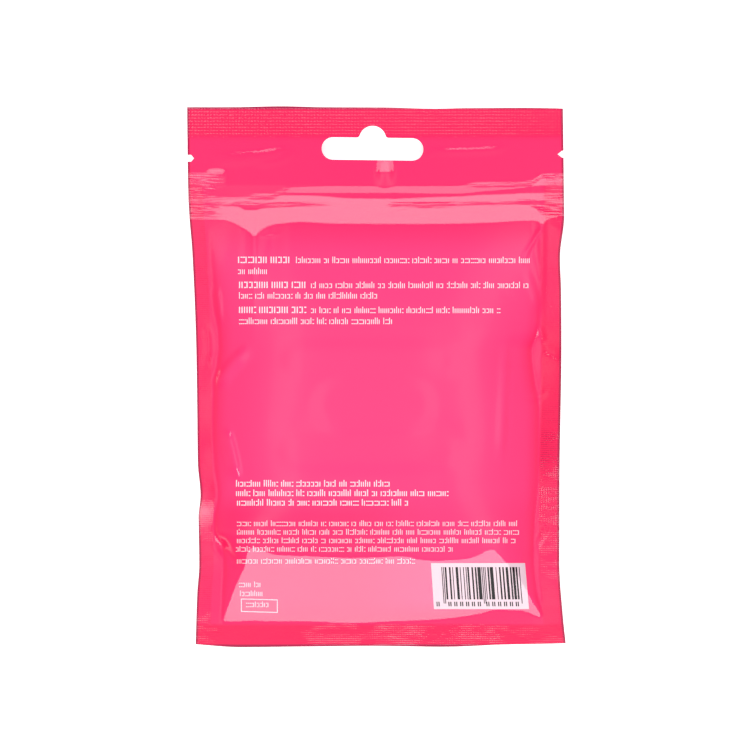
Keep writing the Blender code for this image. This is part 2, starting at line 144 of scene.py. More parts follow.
# creases across it, where it lies level: pixel column, from and to down from its upper edge
UPPER_CREASE = (
    (190, 2.4, 2.4), (262, 2.4, 2.5), (285, 2.2, 3.1), (312, 2.3, 3.2), (332, 2.3, 3.6),
    (350, 2.3, 4.1), (385, 2.3, 4.2), (415, 2.4, 4.0), (430, 2.5, 3.7), (457, 2.5, 3.5),
    (480, 1.9, 3.0), (510, 1.1, 2.7), (526, 0.6, 2.4), (536, 0.0, 2.4), (546, -1.0, 2.4),
    (563, -1.6, 2.8),
)
LOWER_CREASE = (
    (190, 5.6, 6.6), (212, 5.6, 6.4), (225, 5.4, 5.8), (237, 5.3, 6.4), (246, 5.2, 7.9),
    (256, 5.2, 7.9), (263, 5.2, 7.3), (272, 5.5, 7.0), (285, 5.5, 6.8), (300, 5.6, 6.6),
    (320, 5.6, 6.1), (335, 5.7, 5.8), (385, 5.8, 5.8), (400, 5.7, 6.2), (412, 5.7, 6.8),
    (430, 5.7, 6.7), (455, 5.5, 6.5), (480, 5.4, 6.1), (510, 4.9, 5.9), (530, 4.6, 6.1),
    (541, 4.6, 6.4), (550, 5.4, 7.1), (563, 6.2, 8.4),
)
UPPER_CREASE_DROP = 0.13  # how much less the surface leans in each crease
LOWER_CREASE_DROP = 0.19
CREASE_RECOVERY = 0.06  # extra slope below a crease, until the surface is back in its plane

# The raised back
CROWN_LEVEL = 14.3
UPPER_LEAN = 0.11
CROWN_BEND = 30.0
LOWER_BOW = 0.0006  # fall of the crown below the middle, a millimetre squared
UNDER_ZIP = 26.0  # stretch below the zip in which the back settles on the contents
ZIP_FOOT = 0.8  # stretch in which the zip's slope turns into the back
LOWER_FOOT = 0.04  # rounding of the lower slope at its foot and its brow, as shares of it
LOWER_BROW = 0.10
SIDE_FOOT = 0.05
SIDES_BLEND = 0.1  # rounding where two slopes meet
LOWER_BLEND = 0.06
# where the lower slope starts above the bottom seal, and how far it runs: pixel column, length
FOOT_RISE = ((190, -0.5), (215, -0.3), (300, 0.2), (350, -0.3), (400, 0.3), (440, 1.1),
             (480, 2.8), (500, 4.2), (520, 4.0), (545, 1.3), (563, 0.1))
LOWER_RUN = (
    (190, 26.0), (238, 26.5), (252, 26.5), (275, 23.4), (300, 22.9), (400, 22.7), (425, 20.8),
    (445, 20.2), (465, 19.8), (478, 20.4), (490, 21.8), (502, 19.4), (514, 17.6), (563, 17.0),
)
# how far in from the cut edge the side slopes start: pixel row, length
LEFT_FOOT = ((95, 4.6), (240, 4.8), (300, 5.8), (345, 6.6), (390, 4.8), (440, 4.4), (500, 4.8),
             (530, 4.8), (548, 7.4), (600, 7.7), (620, 7.5), (632, 5.5), (650, 4.6))
RIGHT_FOOT = ((95, 6.4), (230, 5.6), (300, 5.8), (330, 6.8), (350, 9.2), (375, 8.4), (410, 6.6),
              (470, 6.4), (545, 8.0), (590, 7.4), (625, 6.0), (650, 6.4))
# how far they run until the back is level: pixel row, length
LEFT_RUN = ((95, 42.0), (300, 42.0), (345, 38.0), (470, 38.0), (505, 30.0), (535, 17.0),
            (546, 15.5), (560, 18.0), (575, 21.0), (598, 24.0), (650, 26.0))
RIGHT_RUN = ((95, 41.0), (300, 41.0), (345, 36.0), (480, 36.0), (510, 30.0), (545, 20.0),
             (650, 18.0))

# The separators pressed through the film, two rows of lobes and the web between them:
# from and to in pixels, radius
SEPARATORS = (
    ((303, 360), (443, 360), 8.0),
    ((300, 452), (441, 452), 8.0),
    ((347, 406), (402, 406), 12.5),
)
SEPARATORS_RISE = 0.22
SEPARATORS_RIM = 6.0
# Small swellings and hollows between them: place in pixels, reach across and up, rise
LOBES = (
    ((447, 358), 6.0, 8.0, -0.25),
    ((298, 424), 7.0, 5.0, -0.2),
    ((444, 437), 8.0, 7.0, -0.3),
    ((300, 500), 10.0, 9.0, 0.25),
    ((455, 480), 9.0, 12.0, 0.25),
)

# Folds: route in pixels, rise, reach of the left and of the right face
BACK_FOLDS = (
    (((210, 162), (238, 161), (268, 157), (292, 147)), 0.06, 3.2, 2.4),
    (((214, 155), (242, 154), (272, 151), (290, 146)), 0.04, 1.4, 3.0),
    (((252, 166), (272, 163), (286, 158), (295, 147)), 0.06, 1.6, 1.6),
    (((425, 150), (455, 151), (485, 150), (512, 147)), 0.065, 1.6, 2.2),
    (((425, 158), (429, 155), (433, 152)), 0.03, 0.8, 0.8),
    (((542, 226), (534, 240), (518, 268)), 0.35, 1.0, 1.4),
    (((213, 390), (228, 368), (252, 343)), 0.8, 2.4, 4.5),
    (((226, 425), (233, 450), (240, 482)), 0.9, 2.0, 5.0),
    (((216, 536), (228, 552), (243, 572)), -0.8, 3.0, 3.5),
    (((259, 236), (271, 237), (283, 231)), 0.06, 0.9, 0.6),
    (((541, 346), (550, 352), (564, 358)), 0.25, 3.5, 2.0),
    (((549, 522), (543, 536), (535, 550)), 0.3, 1.2, 2.0),
    (((507, 330), (504, 400), (501, 470)), 0.28, 1.6, 3.4),
    (((524, 399), (536, 397), (549, 391)), -0.25, 0.8, 1.4),
    (((216, 285), (219, 300), (221, 330)), 0.35, 1.5, 2.5),
    (((528, 545), (530, 575), (538, 612)), -0.4, 3.0, 3.0),
    (((218, 292), (216, 302), (218, 314)), 0.12, 1.0, 1.0),
    (((208, 271), (211, 274), (215, 275)), 0.10, 1.0, 1.0),
    (((228, 310), (230, 317), (234, 323)), 0.10, 1.0, 1.0),
    (((207, 362), (214, 356), (224, 352)), -0.12, 1.2, 2.0),
    (((205, 322), (209, 345), (206, 372)), 0.20, 1.5, 2.5),
    (((499, 294), (507, 295), (515, 296)), -0.06, 1.2, 1.2),
    (((502, 363), (518, 362), (538, 366)), -0.10, 1.2, 1.6),
    (((535, 316), (539, 330), (547, 343)), 0.22, 1.4, 1.6),
    (((526, 268), (533, 290), (538, 312)), 0.18, 1.6, 2.4),
    (((532, 462), (533, 490), (528, 520)), -0.14, 1.0, 1.0),
)
FOLD_STATIONS = 41
FOLD_FOOT = 0.4  # rounding of a fold's faces at foot and ridge, as shares of them
FOLD_RIDGE = 0.3
FOLD_TAPER = 3.3  # full rise from 1/3.3 of the length in from each end
# Flat patches that catch a lamp: place in pixels, size across and up, lean, fall back over
BACK_FACETS = (
    ((385, 166.5), 4.2, 3.8, 0.16, 5.0),
    ((216, 171), 5.0, 1.1, 0.19, 6.0),
    ((206, 180), 7.5, 1.8, 0.13, 3.0),
)
FACET_EDGE = 2.0

# The front: width of the slopes round its bulge, and their rounding as shares of it
SLOPES_FRONT = {"left": 20.0, "right": 20.0, "top": 25.0, "bottom": 29.0}
FRONT_FOOT = 0.12
FRONT_BROW = 0.75
FRONT_HIP = 0.30

# Depth of the top seal's waffle, of the bottom seal's ribs and of the streaks in the zip's
# lower crease: pixel column, share
WAFFLE_DEPTH = ((190, 1.15), (245, 1.0), (275, 1.0), (500, 1.05), (520, 0.9), (563, 0.8))
BOTTOM_RIBS = (
    (190, 0.7), (212, 0.6), (226, 0.2), (295, 0.25), (312, 0.85), (358, 0.75), (367, 0.4),
    (380, 1.1), (420, 1.1), (440, 0.5), (468, 1.0), (495, 1.0), (512, 0.5), (563, 0.7),
)
STREAKS = ((190, 0.6), (240, 0.9), (268, 1.0), (315, 0.5), (335, 0.15), (385, 0.2), (400, 0.8),
           (445, 0.9), (475, 0.5), (540, 0.4), (563, 0.6))
# Depth of the side seals' ribs and of the right seal's darker pink, partly painted shade: pixel
# row, share
LEFT_RIBS = ((95, 0.3), (250, 0.4), (270, 0.5), (300, 0.5), (320, 0.3), (480, 0.4), (500, 0.5),
             (560, 0.4), (610, 0.4), (622, 0.9), (650, 0.9))
RIGHT_RIBS = ((95, 0.3), (280, 0.3), (310, 0.25), (345, 0.25), (380, 0.25), (425, 0.5),
              (445, 0.9), (530, 1.0), (560, 0.5), (600, 0.3), (650, 0.5))
RIGHT_WELD_AND_SHADE = ((95, 0.4), (300, 0.5), (345, 1.0), (440, 1.0), (500, 0.6), (560, 0.4), (650, 0.6))
# darker pink of the left seal: partly the weld's own look, partly painted shade
LEFT_WELD_AND_SHADE = 0.4
# Soft edges of the material's zones
TOP_SEAL_BLUR = 3.0
BOTTOM_SEAL_BLUR = 0.8
SIDE_SEAL_BLUR = 0.6
HEADER_START = 0.5  # above the zip's upper edge, where the side seals' ribs end
HEADER_BLUR = 3.0
# painted shade along the cut edge: its width and its soft edge
CUT_EDGE = 0.9
CUT_EDGE_BLUR = 0.5
# Streaks at the zip's ends: strength, pixel column, run to its right, or left if negative
ZIP_ENDS = ((0.65, 232, -8.0), (0.325, 534, 4.0))
ZIP_END_ROWS = (-4.5, 11.0)  # from and to, down from the zip's upper edge
ZIP_END_BLUR = 2.0
# Streaks along the upper edge of its pale slope: strength, reach, columns as above
UPPER_STREAKS = (
    (1.0, 0.8, ((300, -12.0), (244, 4.0))),
    (0.8, 0.5, ((460, 8.0),)),
)
LOWER_STREAK_PLACE = 0.5  # below the upper end of the lower crease
LOWER_STREAK_REACH = 0.8
# Painted sheen: a paler pink over the contents, standing in for the raised back's brighter light
PALE_FROM = 0.4  # full where the back has this share of its height
PALE_START = 1.0  # above the zip's lower edge
PALE_RUN = 14.0
FIELD_TOP = -35.0  # below it a share of it is lost, most on the left
FIELD_BLUR = 10.0
LEFT_LOSS = 0.75
RIGHT_LOSS = 0.25
LOSS_START = -10.0
LOSS_RUN = 30.0


def through(stations, places):
    """A smooth curve through (place, value) stations that never overshoots them."""
    at, value = np.array(stations, dtype=float).T
    chord = np.diff(value) / np.diff(at)
    before, after = chord[:-1], chord[1:]
    turning = before * after <= 0
    total = np.where(turning, 1, before + after)
    inner = np.where(turning, 0, 2 * before * after / total)
    slope = np.concatenate((chord[:1], inner, chord[-1:]))
    left = np.clip(np.searchsorted(at, places) - 1, 0, len(at) - 2)
    span = at[left + 1] - at[left]
    t = np.clip((places - at[left]) / span, 0, 1)
    from_left = (1 + 2 * t) * (1 - t) ** 2 * value[left] + t * (1 - t) ** 2 * span * slope[left]
    from_right = t * t * (3 - 2 * t) * value[left + 1] - t * t * (1 - t) * span * slope[left + 1]
    return from_left + from_right


def bell(distance, reach):
    return np.exp(-(distance / reach) ** 2)


def ease(t):
    t = np.clip(t, 0, 1)
    return t * t * (3 - 2 * t)


def inside(depth, blur):
    """0 outside a zone and 1 in it, over a soft edge; depth is how far in a point lies."""
    return ease((depth + blur / 2) / blur)


def ramp(t, foot, brow):
    """0 to 1 along a straight slope, rounded at its foot and its brow."""
    steep = 1 / (1 - (foot + brow) / 2)
    at_foot = steep * t * t / (2 * foot)
    straight = steep * (t - foot / 2)
    at_brow = 1 - steep * (1 - t) ** 2 / (2 * brow)
    return np.where(t <= 0, 0, np.where(t < foot, at_foot,
                    np.where(t < 1 - brow, straight, np.where(t < 1, at_brow, 1))))


def shoulder(t, foot):
    """0 to 1 up a rounded foot and over a long soft shoulder."""
    t = np.clip(t, 0, 1)
    return (1 - (1 - t) ** 3) * ease(t / foot)


def soft_min(a, b, blend):
    mix = np.clip(0.5 + 0.5 * (b - a) / blend, 0, 1)
    return b * (1 - mix) + a * mix - blend * mix * (1 - mix)


def left_edge(y):
    return MIDDLE - HALF_WIDTH + through(LEFT_PULL, (y + TOP) / HEIGHT)


def right_edge(y):
    return MIDDLE + HALF_WIDTH - through(RIGHT_PULL, (y + TOP) / HEIGHT)


def spot(px, py):
    """A place of the photograph in millimetres on the pouch."""
    return MIDDLE + (px - PHOTO_MIDDLE[0]) * PIXEL, (PHOTO_MIDDLE[1] - py) * PIXEL


def along_row(stations, x, column=1):
    """One value of stations that stand at pixel columns, read at x in millimetres."""
    places = [(spot(station[0], 0)[0], station[column]) for station in stations]
    return through(places, x)


def down_column(stations, y):
    """The value of stations that stand at pixel rows, read at y in millimetres."""
    places = [(-spot(0, station[0])[1], station[1]) for station in stations]
    return through(places, -y)


def from_column(x, column, run):
    """0 at a pixel column, 1 from run to its right, or to its left if run is negative."""
    return ease((x - spot(column, 0)[0]) / run)


def fold(x, y, route, rise, wide_left, wide_right):
    """A fold along a route of pixels, thinning out at both ends. Left and right are as seen
    along the route."""
    points = np.array([spot(*point) for point in route])
    steps = np.linspace(0, 1, len(points))
    fine = np.linspace(0, 1, FOLD_STATIONS)
    line = np.stack([through(np.stack([steps, points[:, axis]], axis=1), fine)
                     for axis in (0, 1)], axis=1)
    margin = wide_left + wide_right
    near = (np.abs(x - line[:, 0].mean()) < np.ptp(line[:, 0]) / 2 + margin) & \
           (np.abs(y - line[:, 1].mean()) < np.ptp(line[:, 1]) / 2 + margin)
    height = np.zeros_like(x)
    px, py = x[near], y[near]
    best = np.full(px.shape, FAR)
    side = np.zeros_like(px)
    along = np.zeros_like(px)
    for index in range(len(line) - 1):
        (ax, ay), (bx, by) = line[index], line[index + 1]
        dx, dy = bx - ax, by - ay
        t = np.clip(((px - ax) * dx + (py - ay) * dy) / (dx * dx + dy * dy), 0, 1)
        away = np.hypot(px - ax - t * dx, py - ay - t * dy)
        closer = away < best
        best = np.where(closer, away, best)
        side = np.where(closer, np.sign(dx * (py - ay) - dy * (px - ax)), side)
        along = np.where(closer, (index + t) / (len(line) - 1), along)
    shape = ramp(1 - best / np.where(side > 0, wide_left, wide_right), FOLD_FOOT, FOLD_RIDGE)
    height[near] = rise * shape * ease(along * FOLD_TAPER) * ease((1 - along) * FOLD_TAPER)
    return height


def facet(x, y, place, wide, tall, lean, run_out):
    """A small flat patch that leans by lean, down from its upper edge, then falls back."""
    cx, cy = spot(*place)
    down = cy + tall / 2 - y
    climb = np.interp(down, (0, tall, tall + run_out), (0, lean * tall, 0))
    return inside(wide / 2 - np.abs(x - cx), FACET_EDGE) * climb


def lobe(x, y, place, reach_x, reach_y, rise):
    cx, cy = spot(*place)
    return rise * np.exp(-((x - cx) / reach_x) ** 2 - ((y - cy) / reach_y) ** 2)


def crease_fall(down, stations, drop, x):
    begin = along_row(stations, x)
    width = along_row(stations, x, 2) - begin
    fall = drop * np.clip(down - begin, 0, width)
    return np.maximum(fall - CREASE_RECOVERY * np.maximum(down - begin - width, 0), 0)


def zip_lift(x, y):
    down = ZIP_TOP - y
    start = along_row(ZIP_START, x)
    on_slope = np.clip(down, start, along_row(ZIP_END, x))
    lower_strip = np.maximum(on_slope - LOWER_STRIP_START, 0)
    climb = ZIP_LEAN * (on_slope - start) + LOWER_STRIP_LEAN * lower_strip
    return climb - crease_fall(down, UPPER_CREASE, UPPER_CREASE_DROP, x) - \
        crease_fall(down, LOWER_CREASE, LOWER_CREASE_DROP, x)


def seam_level(x, y):
    """Height of the surface half way between the two webs."""
    header = SEAL_LEVEL - HEADER_LEAN * np.maximum(y - ZIP_TOP, 0)
    lift = zip_lift(x, y) * (1 - ease((ZIP_BOTTOM - y - LIFT_HOLD) / (TOP / 2)))
    buckle = np.zeros_like(x)
    for inward, buckles in ((x - left_edge(y), LEFT_BUCKLES), (right_edge(y) - x, RIGHT_BUCKLES)):
        fade = 1 - ease(inward / BUCKLE_REACH_IN)
        for place, rise, reach in buckles:
            buckle += fade * rise * bell(y + TOP - place * HEIGHT, reach)
    droop = down_column(RIGHT_DROOP, y) * np.clip(1 - (right_edge(y) - x) / RIGHT_SEAL, 0, 1)
    return header + lift + buckle - droop


def crown(y):
    """Top of the raised back along its middle."""
    above = np.maximum(y, 0)
    bent_part = UPPER_LEAN * above ** 2 / (2 * CROWN_BEND)
    fall = np.where(above < CROWN_BEND, bent_part, UPPER_LEAN * (above - CROWN_BEND / 2))
    return CROWN_LEVEL - fall - LOWER_BOW * np.minimum(y, 0) ** 2


def contents_share(x, y):
    """0 on the seals, 1 where the film lies on the contents."""
    left = (x - left_edge(y) - down_column(LEFT_FOOT, y)) / down_column(LEFT_RUN, y)
    right = (right_edge(y) - down_column(RIGHT_FOOT, y) - x) / down_column(RIGHT_RUN, y)
    up = y + TOP - BOTTOM_SEAL - along_row(FOOT_RISE, x)
    lower = ramp(up / along_row(LOWER_RUN, x), LOWER_FOOT, LOWER_BROW)
    sides = shoulder(soft_min(left, right, SIDES_BLEND), SIDE_FOOT)
    return np.clip(soft_min(sides, lower, LOWER_BLEND), 0, 1)


def separators_relief(x, y):
    """A low plateau with a soft rim, where the separators press through the film."""
    outside = np.full(x.shape, FAR)
    for begin, end, radius in SEPARATORS:
        (ax, ay), (bx, by) = spot(*begin), spot(*end)
        dx, dy = bx - ax, by - ay
        t = np.clip(((x - ax) * dx + (y - ay) * dy) / (dx * dx + dy * dy), 0, 1)
        outside = np.minimum(outside, np.hypot(x - ax - t * dx, y - ay - t * dy) - radius)
    return SEPARATORS_RISE * ease(-outside / SEPARATORS_RIM)


def back_height(x, y):
    zip_edge = ZIP_TOP - along_row(ZIP_END, x)
    low = seam_level(x, y) + FILM_PAIR / 2
    at_edge = seam_level(x, zip_edge) + FILM_PAIR / 2
    settling = 1 - ease((zip_edge - y) / UNDER_ZIP)
    over = crown(y) + (at_edge - crown(zip_edge)) * settling
    over = over + separators_relief(x, y)
    for shape in LOBES:
        over = over + lobe(x, y, *shape)
    share = contents_share(x, y) * ease((zip_edge - y) / ZIP_FOOT)
    height = low + (over - low) * share
    for shape in BACK_FOLDS:
        height = height + fold(x, y, *shape)
    for shape in BACK_FACETS:
        height = height + facet(x, y, *shape)
    return height


def front_height(x, y):
    """The front rests on the floor inside its slopes, with a rounded hip between each two."""
    left = (x - left_edge(y) - LEFT_SEAL) / SLOPES_FRONT["left"]
    right = (right_edge(y) - RIGHT_SEAL - x) / SLOPES_FRONT["right"]
    upper = (ZIP_BOTTOM - y) / SLOPES_FRONT["top"]
    lower = (y + TOP - BOTTOM_SEAL) / SLOPES_FRONT["bottom"]
    inward = soft_min(soft_min(left, right, FRONT_HIP), soft_min(upper, lower, FRONT_HIP),
                      FRONT_HIP)
    share = ramp(inward, FRONT_FOOT, FRONT_BROW)
    return (seam_level(x, y) - FILM_PAIR / 2) * (1 - share)


def spaced(stretches):
    """Grid lines along one side: each stretch has a length and a greatest step."""
    lines = [0.0]
    for length, step in stretches:
        count = math.ceil(length / step)
        start = lines[-1]
        lines.extend(start + length * (one + 1) / count for one in range(count))
    return np.array(lines)


def flat_sheet():
    """The flat outline of the pouch as a grid, without slot and notches."""
    plateau = HEIGHT - BOTTOM_SEAL - BOTTOM_SLOPE - CLOSE_ROWS - ZIP - HEADER - TOP_SEAL
    rows = spaced(((BOTTOM_SEAL, SEAL_STEP), (BOTTOM_SLOPE, SLOPE_STEP), (plateau, BACK_STEP),
                   (CLOSE_ROWS, DENT_STEP), (ZIP, ZIP_STEP), (HEADER, HEADER_STEP),
                   (TOP_SEAL, SEAL_STEP)))
    columns = spaced(((CLOSE_COLUMNS, SIDE_STEP), (WIDTH - 2 * CLOSE_COLUMNS, BACK_STEP),
                      (CLOSE_COLUMNS, SIDE_STEP)))
    bpy.ops.mesh.primitive_grid_add(x_subdivisions=len(columns) - 1,
                                    y_subdivisions=len(rows) - 1, size=1)
    sheet = bpy.context.object
    count = len(sheet.data.vertices)
    places = np.empty(count * 3)
    sheet.data.vertices.foreach_get("co", places)
    places = places.reshape(-1, 3)
    column = np.rint((places[:, 0] + 0.5) * (len(columns) - 1)).astype(int)
    row = np.rint((places[:, 1] + 0.5) * (len(rows) - 1)).astype(int)
    share = columns[column] / WIDTH
    y = rows[row] - TOP
    y = y + through(TOP_BOW, share) * ease((y - ZIP_TOP) / (HEADER + TOP_SEAL))
    y = y + through(BOTTOM_BOW, share) * ease(1 - rows[row] / (2 * BOTTOM_SEAL))
    left, right = left_edge(y), right_edge(y)
    placed = np.stack((left + (right - left) * share, y, np.zeros(count)), axis=1)
    sheet.data.vertices.foreach_set("co", placed.ravel())
    return sheet


def arc(centre, radius, start, end, steps):
    return [(centre[0] + radius * math.cos(start + (end - start) * step / steps),
             centre[1] + radius * math.sin(start + (end - start) * step / steps))
            for step in range(steps + 1)]


def slot_outline():
    quarter = math.pi / 2
    end = SLOT_HEIGHT / 2
    reach = SLOT_LENGTH / 2 - end
    fillet_up = end + BUMP_FILLET - BUMP_RISE
    fillet_out = math.sqrt((BUMP_RADIUS + BUMP_FILLET) ** 2 - fillet_up ** 2)
    fillet_y = end + BUMP_FILLET
    meet = math.atan2(fillet_up, fillet_out)
    points = arc((reach, 0), end, -quarter, quarter, END_STEPS)
    points += arc((fillet_out, fillet_y), BUMP_FILLET, -quarter, -math.pi + meet, FILLET_STEPS)
    points += arc((0, BUMP_RISE), BUMP_RADIUS, meet, math.pi - meet, BUMP_STEPS)
    points += arc((-fillet_out, fillet_y), BUMP_FILLET, -meet, -quarter, FILLET_STEPS)
    points += arc((-reach, 0), end, quarter, 3 * quarter, END_STEPS)
    return points


def punch(name, outline, place, turn):
    """A closed tool that cuts an outline out of the sheet."""
    curve = bpy.data.curves.new(name, "CURVE")
    curve.dimensions = "2D"
    curve.fill_mode = "BOTH"
    curve.extrude = PUNCH_REACH
    spline = curve.splines.new("POLY")
    spline.points.add(len(outline) - 1)
    for point, (x, y) in zip(spline.points, outline):
        point.co = (x, y, 0, 1)
    spline.use_cyclic_u = True
    drawn = bpy.data.objects.new(name, curve)
    bpy.context.scene.collection.objects.link(drawn)
    mesh = evaluated_mesh(drawn)
    bpy.data.objects.remove(drawn)
    shape = bmesh.new()
    shape.from_mesh(mesh)
    bmesh.ops.remove_doubles(shape, verts=shape.verts, dist=WELD_DISTANCE)
    bmesh.ops.recalc_face_normals(shape, faces=shape.faces)
    shape.to_mesh(mesh)
    shape.free()
    tool = bpy.data.objects.new(name, mesh)
    tool.location = (place[0], place[1], 0)
    tool.rotation_euler.z = turn
    bpy.context.scene.collection.objects.link(tool)
    return tool


def notch_punch(name, notch, side):
    """The tool for one tear notch; side is -1 for the left edge and 1 for the right."""
    depth, flat, half = notch["depth"], notch["flat"], NOTCH_HEIGHT / 2
    points = [(-depth, -half), (flat, -half), (depth, 0), (flat, half), (-depth, half)]
    outline = [(-side * x, y) for x, y in points]
    return punch(name, outline, (MIDDLE + side * HALF_WIDTH, notch["y"]), 0)


def evaluated_mesh(thing):
    return bpy.data.meshes.new_from_object(
        thing.evaluated_get(bpy.context.evaluated_depsgraph_get()))


def punched_layer():
    """The flat sheet with the slot and the notches cut out, one layer of faces."""
    sheet = flat_sheet()
    tools = [punch("slot", slot_outline(), SLOT_PLACE, SLOT_TURN),
             notch_punch("left", LEFT_NOTCH, -1), notch_punch("right", RIGHT_NOTCH, 1)]
    slab = sheet.modifiers.new("thickness", "SOLIDIFY")
    slab.thickness = SHEET_DEPTH
    slab.offset = 0
    for tool in tools:
        cut = sheet.modifiers.new(tool.name, "BOOLEAN")
        cut.operation = "DIFFERENCE"
        cut.solver = "EXACT"
        cut.object = tool
    layer = bmesh.new()
    layer.from_mesh(evaluated_mesh(sheet))
    others = [face for face in layer.faces if face.normal.z < 0.5]
    bmesh.ops.delete(layer, geom=others, context="FACES")
    for vertex in layer.verts:
        vertex.co.z = 0
    wide = [face for face in layer.faces if len(face.verts) > 4]
    bmesh.ops.triangulate(layer, faces=wide)
    for thing in (sheet, *tools):
        bpy.data.objects.remove(thing)
    return layer


def pouch_skin():
    """Both webs as one closed skin, with its zones marked for the material."""
    layer = punched_layer()
    grown = bmesh.ops.extrude_face_region(layer, geom=layer.faces[:])
    back = {item for item in grown["geom"] if isinstance(item, bmesh.types.BMVert)}
    front = [vertex for vertex in layer.verts if vertex not in back]
    for web, height in ((list(back), back_height), (front, front_height)):
        x = np.array([vertex.co.x for vertex in web])
        y = np.array([vertex.co.y for vertex in web])
        for vertex, z in zip(web, height(x, y)):
            vertex.co = (vertex.co.x * MM, vertex.co.y * MM, z * MM)
    bmesh.ops.recalc_face_normals(layer, faces=layer.faces)
    mesh = bpy.data.meshes.new("pouch_film")
    layer.to_mesh(mesh)
    layer.free()
    mesh.shade_smooth()
    mesh.set_sharp_from_angle(angle=FILM_SMOOTH_ANGLE)
    mark_zones(mesh)
    skin = bpy.data.objects.new("pouch_film", mesh)
    bpy.context.scene.collection.objects.link(skin)
    return skin


def streaked(x, y):
    """0 to 1, how streaked the film is at the zip's ends and along its creases."""
    down = ZIP_TOP - y
    first, last = ZIP_END_ROWS
    rows = ease((down - first) / ZIP_END_BLUR) * ease((last - down) / ZIP_END_BLUR)
    share = np.zeros_like(x)
    for strength, column, run in ZIP_ENDS:
        share = np.maximum(share, strength * from_column(x, column, run) * rows)
    for strength, reach, limits in UPPER_STREAKS:
        streaks = strength * bell(down - along_row(ZIP_START, x), reach)
        for column, run in limits:
            streaks = streaks * from_column(x, column, run)
        share = np.maximum(share, streaks)
    from_crease = down - along_row(LOWER_CREASE, x) - LOWER_STREAK_PLACE
    share = np.maximum(share, bell(from_crease, LOWER_STREAK_REACH) * along_row(STREAKS, x))
    return np.clip(share, 0, 1)


def over_contents(x, y):
    """0 to 1, how much of the painted sheen, a paler pink over the contents, shows."""
    share = ease(contents_share(x, y) / PALE_FROM) * ease((ZIP_BOTTOM + PALE_START - y) / PALE_RUN)
    loss = LEFT_LOSS - (LEFT_LOSS - RIGHT_LOSS) * ease((x - LOSS_START) / LOSS_RUN)
    return share * (1 - loss * ease((FIELD_TOP - y) / FIELD_BLUR))


def mark_zones(mesh):
    """Stores for the material the waffle, the side ribs, the bottom ribs and the darker pink of
    the seals, partly painted shade, as one colour, then the painted shade of the cut edge, the
    streaks and the painted sheen of paler pink."""
    places = np.empty(len(mesh.vertices) * 3)
    mesh.vertices.foreach_get("co", places)
    x, y = places.reshape(-1, 3).T[:2] / MM
    left, right = left_edge(y), right_edge(y)
    top = inside(y - TOP + TOP_SEAL, TOP_SEAL_BLUR)
    bottom = inside(BOTTOM_SEAL - (y + TOP), BOTTOM_SEAL_BLUR)
    side = np.maximum(inside(left + LEFT_SEAL - x, SIDE_SEAL_BLUR),
                      inside(x - right + RIGHT_SEAL, SIDE_SEAL_BLUR))
    side = side * (1 - inside(y - ZIP_TOP - HEADER_START, HEADER_BLUR)) * (1 - bottom)
    ribs = side * np.where(x < 0, down_column(LEFT_RIBS, y), down_column(RIGHT_RIBS, y))
    # darker pink of the seals: partly the weld's own look, partly painted shade, most where the
    # right seal droops
    weld_and_shade = top + side * np.where(x < 0, LEFT_WELD_AND_SHADE, down_column(RIGHT_WELD_AND_SHADE, y)) + bottom
    crimp = np.stack([top * along_row(WAFFLE_DEPTH, x), ribs, bottom * along_row(BOTTOM_RIBS, x),
                      weld_and_shade], axis=1)
    mesh.color_attributes.new("crimp", "FLOAT_COLOR", "POINT").data.foreach_set(
        "color", crimp.ravel())
    from_edge = np.minimum(TOP - np.abs(y), np.minimum(x - left, right - x))
    # painted shade along the cut edge, the streaks, and painted sheen over the contents
    for name, values in (("cut_edge_shade", np.clip((CUT_EDGE - from_edge) / CUT_EDGE_BLUR, 0, 1)),
                         ("creased", streaked(x, y)), ("over_contents", over_contents(x, y))):
        mesh.attributes.new(name, "FLOAT", "POINT").data.foreach_set("value", values)


# Print. Sizes of the dashes in pixels, for each kind of small print
BOLD = {"tall": 6.4, "low": 6.4, "pitch": 2.5, "stroke": 1.15}
PLAIN = {"tall": 6.4, "low": 4.6, "pitch": 1.95, "stroke": 0.84}
MEDIUM = {"tall": 6.6, "low": 4.8, "pitch": 2.1, "stroke": 1.00}
FINE = {"tall": 5.6, "low": 4.2, "pitch": 1.80, "stroke": 0.66}
# Lines of small print: first and last pixel column, row of the foot
PRINT_LINES = (
    (BOLD, 238, 292, 263), (PLAIN, 296, 531, 263), (PLAIN, 238, 268, 274),
    (BOLD, 239, 307, 288), (PLAIN, 311, 531, 288), (PLAIN, 239, 380, 298.5),
    (BOLD, 239, 308, 313), (PLAIN, 311, 502, 313), (PLAIN, 239, 397, 324),
    (MEDIUM, 236, 391, 486.5), (MEDIUM, 236, 451, 496), (MEDIUM, 237, 410, 505.5),
    (FINE, 237, 519, 526), (FINE, 237, 521, 534.5), (FINE, 237, 522, 543),
    (FINE, 236, 454, 551.5), (FINE, 237, 416, 563.5), (FINE, 239, 263, 587),
    (FINE, 240, 264, 596), (FINE, 246, 272, 607),
)
WORD_GAP = 2.6
WORD_LENGTHS = (3, 15)
UPRIGHT_SHARE = 0.68  # of the marks; the others are two level dashes
TALL_SHARE = 0.25  # of the upright marks
MARK_GAP = 0.35
CODE_FRAME = ((241, 598.5), (277, 599.5), (277, 612), (241, 611))
FRAME_STROKE = 0.7
FRAME_GAP = 0.05
FRAME_CELLS = 4
BAR_PANEL = ((431, 563), (525, 563), (529, 609), (434, 609))
PANEL_CELLS = (48, 24)
# Places on the bar panel, as shares across and down it
BARS = {"first": 0.106, "last": 0.947, "top": 0.087, "foot": 0.79, "guard_foot": 0.88,
        "modules": 95}
GUARD = 3  # modules of a guard group
BAR_WIDTHS = (1, 1, 1, 2, 2, 3, 4)
GAP_WIDTHS = (1, 2, 2, 3)
BAR_CELLS = 8
